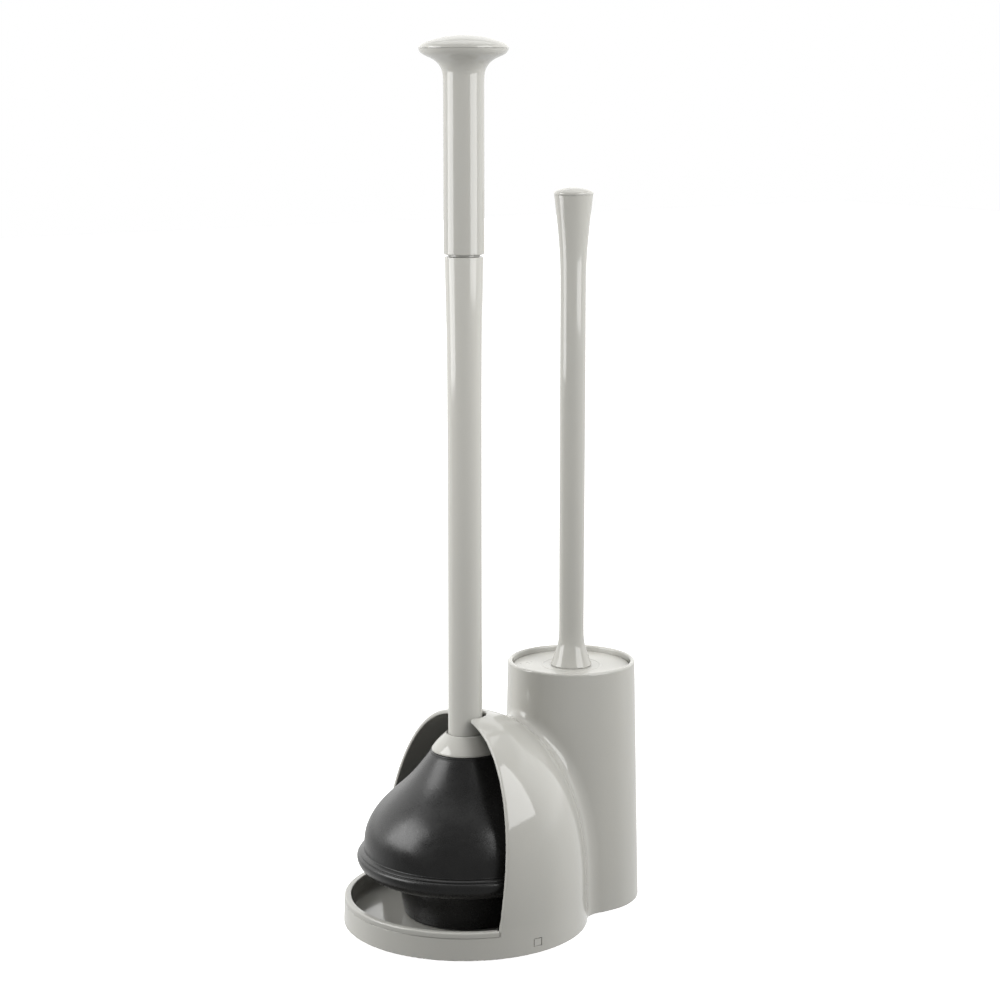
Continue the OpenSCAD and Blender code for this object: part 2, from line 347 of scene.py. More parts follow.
def profile(*items, n=5):
    """A closed outline in (r, z). Items are points (r, z), points with an edge radius (r, z, radius), or lists of dense points."""
    pts, rad = [], []
    for it in items:
        if isinstance(it, list):
            for q in it:
                pts.append((q[0], q[1]))
                rad.append(q[2] if len(q) > 2 else 0.0)
        else:
            pts.append((it[0], it[1]))
            rad.append(it[2] if len(it) > 2 else 0.0)
    keep = [0]
    for i in range(1, len(pts)):
        if math.dist(pts[i], pts[keep[-1]]) > 1e-4:
            keep.append(i)
        elif rad[i] > 0:
            rad[keep[-1]] = rad[i]
    pts, rad = [pts[i] for i in keep], [rad[i] for i in keep]
    ring = not (pts[0][0] < 1e-6 and pts[-1][0] < 1e-6)
    if ring and math.dist(pts[0], pts[-1]) < 1e-4:
        pts.pop()
        rad.pop()
    m = len(pts)

    def walk(i, step, dist):
        """The point dist along the outline from corner i, and how many points were passed."""
        at, passed = pts[i], 0
        j = i
        while True:
            k = j + step
            if ring:
                k %= m
            elif k < 0 or k >= m:
                return at, passed
            seg = math.dist(at, pts[k])
            if seg > dist:
                f = dist / seg
                return (at[0] + (pts[k][0] - at[0]) * f, at[1] + (pts[k][1] - at[1]) * f), passed
            dist -= seg
            at, j, passed = pts[k], k, passed + 1

    drop, insert = set(), {}
    for i in range(m):
        if rad[i] <= 0:
            continue
        a, b, c = pts[i - 1], pts[i], pts[(i + 1) % m]
        v1 = np.array(a) - b
        v2 = np.array(c) - b
        cosv = float(v1 @ v2 / (np.linalg.norm(v1) * np.linalg.norm(v2)))
        half = math.acos(max(-1, min(1, cosv))) / 2
        t = rad[i] / math.tan(half)
        q0, n0 = walk(i, -1, t)
        q1, n1 = walk(i, 1, t)
        s0, _ = walk(i, -1, t + 0.25 * rad[i] + 0.05)
        s1, _ = walk(i, 1, t + 0.25 * rad[i] + 0.05)
        for k in range(n0):
            drop.add((i - 1 - k) % m)
        for k in range(n1):
            drop.add((i + 1 + k) % m)
        # conic through the two tangent points, a true arc for equal tangents
        w = math.sin(half)
        arc = []
        for k in range(n + 1):
            u = k / n
            c0, c1, c2 = (1 - u) ** 2, 2 * u * (1 - u) * w, u * u
            den = c0 + c1 + c2
            arc.append(((c0 * q0[0] + c1 * b[0] + c2 * q1[0]) / den, (c0 * q0[1] + c1 * b[1] + c2 * q1[1]) / den))
        insert[i] = [s0, *arc, s1]
    out = []
    for i in range(m):
        if i in insert:
            out += insert[i]
        elif i not in drop:
            out.append(pts[i])
    clean = [out[0]]
    for q in out[1:]:
        if math.dist(q, clean[-1]) > 0.004:
            clean.append(q)
    if ring and math.dist(clean[0], clean[-1]) < 0.004:
        clean.pop()
    return clean


def lathe_data(pts, cx, seg):
    p = np.array(pts, float)
    ring = not (p[0, 0] < 1e-6 and p[-1, 0] < 1e-6)
    nxt = np.roll(p, -1, 0)
    area = 0.5 * np.sum(p[:, 0] * nxt[:, 1] - nxt[:, 0] * p[:, 1])
    if area < 0:
        p = p[::-1].copy()
    m = len(p)
    d = np.roll(p, -1, 0) - p  # segment i goes from i to i+1; its own length weighs its normal
    nrm = np.stack([d[:, 1], -d[:, 0]], 1)
    if not ring:
        nrm[-1] = 0
    vn = nrm + np.roll(nrm, 1, 0)
    if not ring:
        vn[0], vn[-1] = nrm[0], nrm[-2]
    vn /= np.maximum(np.linalg.norm(vn, axis=1), 1e-12)[:, None]
    ang = np.arange(seg) * 2 * math.pi / seg
    ca, sa = np.cos(ang), np.sin(ang)
    verts, norms, first = [], [], []
    for i in range(m):
        first.append(len(verts))
        r, z = p[i]
        if r < 1e-6:
            verts.append((cx, 0.0, z))
            norms.append((0, 0, 1.0 if vn[i, 1] > 0 else -1.0))
        else:
            verts += list(zip((cx + r * ca).tolist(), (r * sa).tolist(), [float(z)] * seg))
            norms += list(zip((vn[i, 0] * ca).tolist(), (vn[i, 0] * sa).tolist(), [float(vn[i, 1])] * seg))
    faces = []
    for i in range(m if ring else m - 1):
        k = (i + 1) % m
        a, b = first[i], first[k]
        pa, pb = p[i, 0] < 1e-6, p[k, 0] < 1e-6
        if pa and pb:
            continue
        for j in range(seg):
            j2 = (j + 1) % seg
            if pa:
                faces.append((a, b + j2, b + j))
            elif pb:
                faces.append((a + j, a + j2, b))
            else:
                faces.append((a + j, a + j2, b + j2, b + j))
    return verts, faces, norms


def lathe(name, pts, cx, material, body, replaces=(), seg=144):
    v, f, n = lathe_data(pts, cx, seg)
    return make(name, v, f, n, material, body, replaces)


# ---------------------------------------------------------------- caddy shell as one smooth implicit solid


def rmax(a, b, r):
    """Intersection with a round outer edge of radius r."""
    return np.minimum(-r, np.maximum(a, b)) + np.hypot(np.maximum(r + a, 0), np.maximum(r + b, 0))


def rmin(a, b, r):
    """Union with a round inner corner of radius r."""
    return np.maximum(r, np.minimum(a, b)) - np.hypot(np.maximum(r - a, 0), np.maximum(r - b, 0))


def dome(x, y, z, a, top):
    rho = np.hypot(x - PX, y)
    big = a + 0.03 * np.maximum(20 - z, 0)
    pr, pz = 2 / 0.91, 2 / 0.87
    u, w = rho / big, np.maximum(z - 20, 0) / (top - 20)
    f = u**pr + w**pz - 1
    gr = pr * u ** (pr - 1) / big
    gz = pz * w ** (pz - 1) / (top - 20) + np.where(z < 20, pr * u**pr / big * 0.03, 0)
    return f / np.maximum(np.hypot(gr, gz), 1e-3)


WINDOWS = []
for side in (-1, 1):
    WINDOWS.append((PX + 0.13, side * 78.6, 7.28, 2.92, 3.4, 2.50))
WINDOWS.append((BX + 44.9, 0.0, 7.28, 3.4, 2.92, 2.50))


def shell_field(x, y, z):
    d_out = dome(x, y, z, 79.4, 139.9)
    d_in = dome(x, y, z, 76.6, 137.1)
    rc = np.hypot(x - BX, y)
    w_out = (rc - (46.0 - 0.0234 * (z - 0.4))) * 0.9997
    w_cone = np.maximum((rc - (43.2 - 0.03304 * (z + 1))) * 0.9995, z - (WELL_H - 6.2))
    w_seat = np.maximum(rc - 39.0, (WELL_H - 6.2) - z)
    w_in = np.minimum(w_cone, w_seat)
    outer = rmin(d_out, np.maximum(w_out, z - WELL_H - 3), 9.0)
    s = np.maximum(outer, -d_in)
    s = np.maximum(s, -np.maximum(w_in, -d_out))
    s = rmax(s, z - WELL_H, 1.45)
    # the dome's foot gives way to the base plate
    foot = np.maximum(np.minimum(rc - 43.2, np.hypot(x - PX, y) - 77.2), z - 3.0)
    s = np.maximum(s, -foot)
    s = rmax(s, 0.4 - z, 0.5)
    # the open side
    along = (x - PX) * NX + y * NY
    across = -(x - PX) * NY + y * NX
    g = (along - 23.6 + 0.14 * z) / math.sqrt(1 + 0.14**2)
    slot = np.hypot(np.minimum(along, 0), across) - 13.4
    hood = rmax(s, g, 1.15)
    hood = rmax(hood, -slot, 1.15)
    band = rmax(s, z - BAND_H, 0.3)
    s = np.minimum(hood, band)
    for cx, cy, cz, hx, hy, hz in WINDOWS:
        w = np.maximum(np.maximum(np.abs(x - cx) - hx, np.abs(y - cy) - hy), np.abs(z - cz) - hz)
        s = np.maximum(s, -w)
    return s


def axis_steps(lo, hi, step, fine):
    """Grid positions from lo to hi, with finer spans (a, b, step)."""
    out, at = [lo], lo
    while at < hi:
        s = step
        for a, b, f in fine:
            if a - 1e-9 <= at < b - 1e-9:
                s = min(s, f)
            elif at < a < at + s:
                s = min(s, max(a - at, 0.3))
        at += s
        out.append(at)
    return np.array(out)


def gradient(field, v, e=0.02):
    g = np.empty_like(v)
    for k in range(3):
        d = np.zeros(3)
        d[k] = e
        a, b = v + d, v - d
        g[:, k] = (field(*a.T) - field(*b.T)) / (2 * e)
    return g


def settle(field, v, rounds=5):
    """Moves points onto the surface where the field is zero."""
    for _ in range(rounds):
        g = gradient(field, v)
        f = field(*v.T)
        step = f / np.maximum((g**2).sum(1), 0.05)
        v = v - g * np.clip(step, -1.2, 1.2)[:, None]
    return v


def sheet_table():
    """For each of the 256 corner patterns of a cell, the sheet that each outside corner belongs to, and the number of sheets."""
    table, count = np.zeros((256, 8), np.int64), np.zeros(256, np.int64)
    for code in range(256):
        left = {c for c in range(8) if code >> c & 1}
        while left:
            todo = [left.pop()]
            while todo:
                c = todo.pop()
                table[code, c] = count[code]
                for bit in (1, 2, 4):
                    if c ^ bit in left:
                        left.remove(c ^ bit)
                        todo.append(c ^ bit)
            count[code] += 1
    count[0] = count[255] = 0
    return table, count


def nets(field, xs, ys, zs):
    """Surface nets on a grid with uneven spacing, with one point per cell and sheet, so that thin walls stay apart."""
    f = np.empty((len(xs), len(ys), len(zs)), np.float32)
    X, Y = np.meshgrid(xs, ys, indexing="ij")
    for k, z in enumerate(zs):
        f[:, :, k] = field(X, Y, np.full_like(X, z))
    neg = f < 0
    table, count = sheet_table()
    code = np.zeros(tuple(n - 1 for n in f.shape), np.int64)
    for i in (0, 1):
        for j in (0, 1):
            for k in (0, 1):
                part = ~neg[i : i + code.shape[0], j : j + code.shape[1], k : k + code.shape[2]]
                code += part.astype(np.int64) << (i * 4 + j * 2 + k)
    I, J, K = np.nonzero(count[code] > 0)
    here = code[I, J, K]
    first = np.concatenate([[0], np.cumsum(count[here])])
    idx = np.full(code.shape, -1, np.int64)
    idx[I, J, K] = first[:-1]
    total, hits = np.zeros((first[-1], 3)), np.zeros(first[-1])
    weight = (4, 2, 1)
    for axis in range(3):
        o1, o2 = [a for a in range(3) if a != axis]
        for u in (0, 1):
            for w in (0, 1):
                s = [0, 0, 0]
                s[o1], s[o2] = u, w
                e = list(s)
                e[axis] = 1
                a = f[I + s[0], J + s[1], K + s[2]]
                b = f[I + e[0], J + e[1], K + e[2]]
                m = (a < 0) != (b < 0)
                t = np.where(m, a / np.where(m, a - b, 1), 0)
                p0 = np.stack([xs[I + s[0]], ys[J + s[1]], zs[K + s[2]]], 1)
                p1 = np.stack([xs[I + e[0]], ys[J + e[1]], zs[K + e[2]]], 1)
                low = sum(s[q] * weight[q] for q in range(3))
                corner = np.where(a < 0, low + weight[axis], low)
                ids = (first[:-1] + table[here, corner])[m]
                np.add.at(total, ids, (p0 + (p1 - p0) * t[:, None])[m])
                np.add.at(hits, ids, 1)
    v = total / np.maximum(hits, 1)[:, None]
    quads = []
    for axis in range(3):
        sl0, sl1 = [slice(None)] * 3, [slice(None)] * 3
        sl0[axis], sl1[axis] = slice(0, -1), slice(1, None)
        m = neg[tuple(sl0)] != neg[tuple(sl1)]
        o1, o2 = [(1, 2), (2, 0), (0, 1)][axis]
        for o in (o1, o2):
            edge = [slice(None)] * 3
            edge[o] = 0
            m[tuple(edge)] = False
            edge[o] = -1
            m[tuple(edge)] = False
        P = np.stack(np.nonzero(m), 1)
        inside = neg[P[:, 0], P[:, 1], P[:, 2]]

        def cell(du, dw):
            q = P.copy()
            q[:, o1] += du
            q[:, o2] += dw
            corner = -du * weight[o1] - dw * weight[o2] + np.where(inside, weight[axis], 0)
            at = (q[:, 0], q[:, 1], q[:, 2])
            return idx[at] + table[code[at], corner]

        q = np.stack([cell(-1, -1), cell(0, -1), cell(0, 0), cell(-1, 0)], 1)
        q[~inside] = q[~inside][:, ::-1]
        quads.append(q)
    return v, np.concatenate(quads)


def relax(field, v, edges, rounds=3, lam=0.45, only=None):
    """Evens out the mesh along the surface."""
    for _ in range(rounds):
        s = np.zeros_like(v)
        n = np.zeros(len(v))
        for a, b in ((0, 1), (1, 0)):
            np.add.at(s, edges[:, a], v[edges[:, b]])
            np.add.at(n, edges[:, a], 1)
        g = gradient(field, v)
        g /= np.maximum(np.linalg.norm(g, axis=1), 1e-9)[:, None]
        d = s / np.maximum(n, 1)[:, None] - v
        d -= g * (d * g).sum(1)[:, None]
        if only is not None:
            d *= only[:, None]
        v = settle(field, v + lam * d, 2)
    return v


def build_shell():
    cell = 2.1
    xs = axis_steps(-107.5, 107.5, cell, [(PX - 4.2, PX + 4.2, 0.45), (BX + 40.6, BX + 46.5, 0.9)])
    ys = axis_steps(-81.5, 81.5, cell, [(-80.6, -76.2, 0.8), (-4.2, 4.2, 0.7), (76.2, 80.6, 0.8)])
    zs = axis_steps(-0.9, WELL_H + 1.6, cell, [(-0.2, 1.4, 0.4), (4.1, 10.7, 0.45), (13.8, 15.6, 0.45), (WELL_H - 7.2, WELL_H - 5.4, 0.6), (WELL_H - 2.2, WELL_H + 0.4, 0.5)])
    v, q = nets(shell_field, xs, ys, zs)
    v = settle(shell_field, v, 5)
    v = relax(shell_field, v, np.concatenate([q[:, [0, 1]], q[:, [1, 2]], q[:, [2, 3]], q[:, [3, 0]]]), 2)
    # finer faces along the rounded rim of the open side and of the notch
    bm = bmesh.new()
    vs = [bm.verts.new(p) for p in v]
    for f in q:
        if len(set(f)) == 4:
            try:
                bm.faces.new([vs[i] for i in f])
            except ValueError:
                pass
    x, y, z = v.T
    along = (x - PX) * NX + y * NY
    across = -(x - PX) * NY + y * NX
    g = (along - 23.6 + 0.14 * z) / math.sqrt(1 + 0.14**2)
    slot = np.hypot(np.minimum(along, 0), across) - 13.4
    rc = np.hypot(x - BX, y)
    near = ((np.abs(g + 0.6) < 2.3) & (z > BAND_H - 1) & (slot > -1)) | ((np.abs(slot - 0.6) < 2.3) & (z > 120) & (g < 1))
    near |= (z > WELL_H - 2.6) & (rc < 44)
    bm.verts.ensure_lookup_table()
    bm.verts.index_update()
    edges = [e for e in bm.edges if near[e.verts[0].index] and near[e.verts[1].index]]
    bmesh.ops.subdivide_edges(bm, edges=edges, cuts=2, use_grid_fill=True)
    bmesh.ops.remove_doubles(bm, verts=bm.verts, dist=1e-4)
    loose = [w for w in bm.verts if not w.link_faces]
    bmesh.ops.delete(bm, geom=loose, context="VERTS")
    bm.verts.index_update()
    v = np.array([w.co[:] for w in bm.verts])
    v = settle(shell_field, v, 5)
    faces = [[w.index for w in f.verts] for f in bm.faces]
    edges = np.array([(e.verts[0].index, e.verts[1].index) for e in bm.edges])
    bm.free()
    # the tight roundings are evened out once more
    g0 = gradient(shell_field, v, 0.05)
    turn = np.zeros(len(v))
    unit = g0 / np.maximum(np.linalg.norm(g0, axis=1), 1e-9)[:, None]
    np.maximum.at(turn, edges[:, 0], 1 - (unit[edges[:, 0]] * unit[edges[:, 1]]).sum(1))
    np.maximum.at(turn, edges[:, 1], 1 - (unit[edges[:, 0]] * unit[edges[:, 1]]).sum(1))
    boxes = np.zeros(len(v), bool)
    for cx, cy, cz, hx, hy, hz in WINDOWS:
        boxes |= (np.abs(v[:, 0] - cx) < hx + 1) & (np.abs(v[:, 1] - cy) < hy + 1) & (np.abs(v[:, 2] - cz) < hz + 1)
    soft = (turn > 0.02) & ~boxes & (v[:, 2] > 3.4)
    v = relax(shell_field, v, edges, 5, 0.4, soft.astype(float))
    n = gradient(shell_field, v, 0.05)
    n /= np.maximum(np.linalg.norm(n, axis=1), 1e-9)[:, None]
    return v, faces, n


v, f, n = build_shell()
shell = make("caddy_shell_smooth", v, f, n, plastic_shell, "caddy", ("caddy_shell",))
print("shell faces", len(f))


# ---------------------------------------------------------------- tray, pads


def tray():
    r = 76.3
    body = profile(
        (0, 2.85), (r - 3, 2.85, 0.8), (r - 0.2, 5.3, 1.5), (r, 8.0),
        (r - 0.1, LIP_H - 0.9, 0.4), (r - 1.3, LIP_H - 0.9, 0.4),
        (r - 1.45, 8.6), (r - 1.55, 5.6, 2.6), (60, 5.55), (0, 5.5),
    )
    verts, faces, norms = lathe_data(body, PX, 192)
    verts, norms = [tuple(p) for p in verts], list(norms)
    # the lip fills the sector that the hood leaves open; its ends follow the hood's raked cut
    lip = profile(
        (r - 1.55, 12.2, 0.5), (r - 0.2, 12.0, 0.4), (r - 0.15, BAND_H + 0.12, 0.2), (79.62, BAND_H + 0.12, 0.2),
        (79.5, 16.4), (79.25, LIP_H, 1.25), (r - 1.35, LIP_H, 1.0), (r - 1.5, 15.6), n=6,
    )
    p = np.array(lip)
    nx = np.roll(p, -1, 0)
    if np.sum(p[:, 0] * nx[:, 1] - nx[:, 0] * p[:, 1]) < 0:
        p = p[::-1].copy()
    m = len(p)
    d = np.roll(p, -1, 0) - p
    nr = np.stack([d[:, 1], -d[:, 0]], 1)
    vn = nr + np.roll(nr, 1, 0)
    vn /= np.linalg.norm(vn, axis=1)[:, None]
    seg = 150
    base = len(verts)
    half = np.arccos(np.clip((23.6 - 0.14 * p[:, 1] + 0.45) / p[:, 0], -1, 1))
    for j in range(seg + 1):
        th = TURN - half + 2 * half * j / seg
        for i in range(m):
            c, s = math.cos(th[i]), math.sin(th[i])
            verts.append((PX + p[i, 0] * c, p[i, 0] * s, p[i, 1]))
            norms.append((vn[i, 0] * c, vn[i, 0] * s, vn[i, 1]))
    for j in range(seg):
        a, b = base + j * m, base + (j + 1) * m
        for i in range(m):
            k = (i + 1) % m
            faces.append((a + i, b + i, b + k, a + k))
    # end caps have their own points, so that their edge stays crisp
    for j, side in ((0, -1), (seg, 1)):
        start = len(verts)
        for i in range(m):
            verts.append(verts[base + j * m + i])
            norms.append((-NX * 0.99, -NY * 0.99, -0.139))
        cap = list(range(start, start + m))
        faces.append(tuple(cap if side < 0 else cap[::-1]))
    make("drip_tray_dish", verts, faces, norms, plastic_tray, "caddy", ("drip_tray",))


tray()


def pads():
    verts, faces, norms = [], [], []
    spots = [(PX + 62 * math.cos(math.radians(a)), 62 * math.sin(math.radians(a)), 7.0) for a in (35, 145, 215, 325)]
    spots += [(BX + 32 * math.cos(math.radians(a)), 32 * math.sin(math.radians(a)), 5.0) for a in (-38, 38)]
    for cx, cy, r in spots:
        pr = profile((0, 0), (r, 0, 0.3), (r, 0.8, 0.1), (0, 0.8))
        v, f, n = lathe_data(pr, cx, 48)
        o = len(verts)
        verts += [(x, y + cy, z) for x, y, z in v]
        norms += n
        faces += [tuple(i + o for i in t) for t in f]
    make("foot_pads_round", verts, faces, norms, pad_rubber, "caddy", ("foot_pads",))


pads()


# ---------------------------------------------------------------- plunger

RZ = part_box("cup_flange")[0].z * 1000
outside = spline([(41.4, 12), (42.2, 17), (43.1, 23), (44.3, 27.6), (46.6, 31.2), (50.2, 33.2), (56, 33.9), (61.5, 34.4), (66.0, 36.1), (69.3, 39.4), (70.75, 42.6), (70.95, 45.0), (70.3, 46.4), (69.4, 46.95)], 0.7)
cone = spline([(66.35, 51.2), (66.2, 55), (65.3, 61), (63.0, 67.2), (59.2, 73.6), (53.7, 80.2), (46.9, 86.6), (40.6, 92.4), (35.2, 98.0), (30.4, 103.8), (26.3, 109.2), (23.6, 112.9)], 0.9)
inside = spline([(36.0, 12), (37.2, 18), (38.4, 26), (40.0, 33.0), (44, 37.6), (51, 39.2), (57.6, 40.4), (61.0, 43.8), (61.9, 48.6), (61.6, 54), (60.2, 60), (57.2, 66), (52.0, 72.2), (45.2, 78.8), (38.8, 84.6), (33, 89.6), (27.8, 94.4), (23.8, 97.8), (20.8, 98.2), (18, 95.4), (15.6, 91.2), (12, 88.9), (6, 88.5), (0, 88.4)], 1.0)
cup = profile(
    (0, 93), (8.85, 93, 0.3), (8.85, 114.9, 0.3), (21.9, 114.9, 0.3), (22.75, 114.6, 0.45), (23.0, 113.5, 0.3),
    cone[::-1],
    # a fine moulded ridge on the ring's shoulder
    (66.45, 49.35, 0.5), (68.2, 48.75, 0.5), (69.25, 48.1, 0.45), (69.45, 47.5, 0.25), (69.2, 47.1, 0.2),
    outside[::-1],
    (40.7, RZ + 2.9), (40.3, RZ, 1.9), (34.8, RZ, 1.2), (35.2, RZ + 3.0),
    inside,
)
lathe("rubber_cup_bell", cup, PX, rubber, "plunger", ("rubber_cup", "cup_rim", "cup_flange"), 192)

collar = profile(
    (8.6, 115), (21.5, 115, 0.1), (21.95, 115.15, 0.2), (21.95, 116.1, 0.35),
    spline([(21.4, 117.0), (19.9, 119.0), (17.9, 121.3), (15.7, 123.5), (13.9, 125.2)], 0.6),
    (13.2, 125.85, 0.35), (12.6, 126.25, 0.25), (11.5, 126.3), (11.5, 119), (8.6, 119),
)
lathe("base_collar_cone", collar, PX, plastic, "plunger", ("base_collar",))

shaft = profile(
    (8.4, 119.1), (11.2, 119.1), (11.2, 126),
    spline([(11.2, 127), (11.03, 160), (10.95, 200), (10.9, 260), (10.9, 320), (10.92, 345), (11.02, 366), (11.28, 388), (11.66, 407), (12.2, SHAFT_TOP - 0.5)], 2.5),
    (12.22, SHAFT_TOP, 0.45), (9.6, SHAFT_TOP), (9.6, 394), (8.4, 391),
)
# the shaft uses the lighter copy of the grey, painted light
lathe("lower_shaft_tube", shaft, PX, plastic_shaft_painted_light, "plunger", ("lower_shaft",))

neck = profile(
    (0, 394.6), (8.4, 394.6),
    [q for i in range(7) for q in ((8.7, 397 + 4.6 * i), (9.4, 397.9 + 4.6 * i, 0.2), (9.4, 399.1 + 4.6 * i, 0.2), (8.7, 400 + 4.6 * i))],
    (9.45, 430), (9.45, SHAFT_TOP + 0.1), (10.2, SHAFT_TOP + 0.1, 0.1), (10.2, GRIP_LOW - 0.1, 0.1), (9.9, GRIP_LOW - 0.1),
    (9.9, GRIP_LOW + 34), (8.8, GRIP_LOW + 35.5), (6.6, GRIP_LOW + 35.5), (6.6, GRIP_LOW - 4), (0, GRIP_LOW - 4), n=3,
)
lathe("handle_coupler_neck", neck, PX, plastic, "plunger", ("handle_coupler",), 96)

kz = KNOB_Z
grip = profile(
    (10, GRIP_LOW), (12.85, GRIP_LOW, 0.5),
    spline([(12.85, GRIP_LOW + 2), (12.83, 470), (12.8, 510), (12.8, kz - 21), (12.9, kz - 17.4), (13.2, kz - 15), (13.8, kz - 12.9), (14.7, kz - 11.1), (15.9, kz - 9.5), (17.5, kz - 8.0), (19.7, kz - 6.6), (22.2, kz - 5.4), (24.8, kz - 4.2), (26.6, kz - 2.9), (27.6, kz - 1.5), (28.02, kz - 0.3)], 0.9),
    (28.05, kz - 0.12, 0.1), (25.2, kz - 0.12), (25.1, kz - 1.2), (10, kz - 11.6),
)
lathe("upper_grip_tube", grip, PX, plastic, "plunger", ("upper_grip",), 160)

capp = profile(
    (0, kz), (22.4, kz), (22.4, kz - 1.3), (24.4, kz - 1.3), (24.6, kz + 0.02), (28.05, kz + 0.02, 0.1),
    spline([(28.08, kz + 0.15), (27.95, kz + 1.0), (27.3, kz + 2.1), (25.5, kz + 3.5), (22.9, kz + 4.75), (19.1, kz + 6.1), (14.5, kz + 7.3), (9.5, kz + 8.2), (4.7, kz + 8.72), (0, kz + 8.9)], 0.8),
)
lathe("knob_cap_dome", capp, PX, plastic, "plunger", ("knob_cap",), 160)

stud = profile(
    (0, 93.4), (6.8, 93.4),
    [q for i in range(5) for q in ((7.4, 94.6 + 4 * i), (8.5, 95.4 + 4 * i, 0.2), (8.5, 96.6 + 4 * i, 0.2), (7.4, 97.4 + 4 * i))],
    (8.2, 115.2), (8.2, 150, 0.4), (6.9, 151.2), (0, 151.2), n=3,
)
lathe("cup_stud_screw", stud, PX, plastic, "plunger", ("cup_stud",), 96)


# ---------------------------------------------------------------- brush

lt, bt = LID_TOP, BRUSH_TOP
ledge = WELL_H - 6.2
lid = profile(
    (5.8, ledge + 0.2), (35.4, ledge + 0.2), (35.4, ledge - 7.4, 0.3), (36.6, ledge - 7.4, 0.4), (36.9, ledge + 0.2), (37.9, ledge + 0.2, 0.1), (38.65, ledge + 1.0, 0.1),
    (38.65, lt, 0.6),
    [(37.9 - i * 1.4, lt - 0.08 * math.sin(math.pi * i / 12)) for i in range(1, 12)],
    (20.3, lt, 0.2), (19.7, lt + 0.23, 0.25), (18.9, lt + 0.23, 0.25), (18.3, lt, 0.15), (5.8, lt),
)
lathe("brush_lid_disc", lid, BX, plastic_satin, "brush", ("brush_lid",), 176)

b = lt + 0.1
handle = profile(
    (5.8, b), (13.68, b, 0.3),
    spline([(13.5, b + 0.8), (12.55, b + 3.0), (11.6, b + 5.6), (10.7, b + 8.4), (9.15, b + 13.7), (8.5, b + 18), (8.27, b + 23), (8.25, 205), (8.3, 243), (8.3, 290), (8.35, 343), (8.3, 385), (8.35, 410), (8.55, bt - 45), (9.0, bt - 36), (9.6, bt - 28.5), (10.55, bt - 18.5), (11.5, bt - 10), (12.35, bt - 2.6), (12.6, bt - 0.5)], 1.6),
    (12.66, bt, 0.12), (10.2, bt), (10.2, bt - 5), (6.4, bt - 30), (5.8, bt - 60),
)
lathe("brush_handle_tube", handle, BX, plastic, "brush", ("brush_handle",), 144)

bc = profile(
    (0, bt + 0.1), (7.8, bt + 0.1), (7.8, bt - 4.6), (9.9, bt - 4.6), (10.1, bt + 0.1), (12.68, bt + 0.1, 0.1), (12.82, bt + 1.0, 0.5),
    spline([(12.5, bt + 1.9), (11.5, bt + 2.75), (9.2, bt + 3.75), (6.2, bt + 4.55), (3.1, bt + 5.0), (0, bt + 5.1)], 0.6),
)
lathe("brush_cap_lens", bc, BX, plastic, "brush", ("brush_cap",), 144)

stem = profile(
    (0, 108.2), (4.6, 108.2, 0.5), (5.6, 110), (5.6, 151.6), (8.6, 151.6, 0.3), (9.4, 152.8, 0.3), (9.4, ledge + 0.1), (5.6, ledge + 0.1),
    (5.6, 205, 0.4), (4.6, 206.4), (0, 206.4),
)
lathe("brush_stem_spigot", stem, BX, plastic, "brush", ("brush_stem",), 96)

head = profile(
    spline([(0, 96.4), (3.4, 96.7), (6.2, 98.1), (8.2, 100.6), (9.0, 104.4)], 0.7),
    (9.0, 151.4, 0.4), (5.7, 151.4), (5.7, 108), (0, 108),
)
lathe("bristle_core_stick", head, BX, core, "brush", ("bristle_core",), 96)


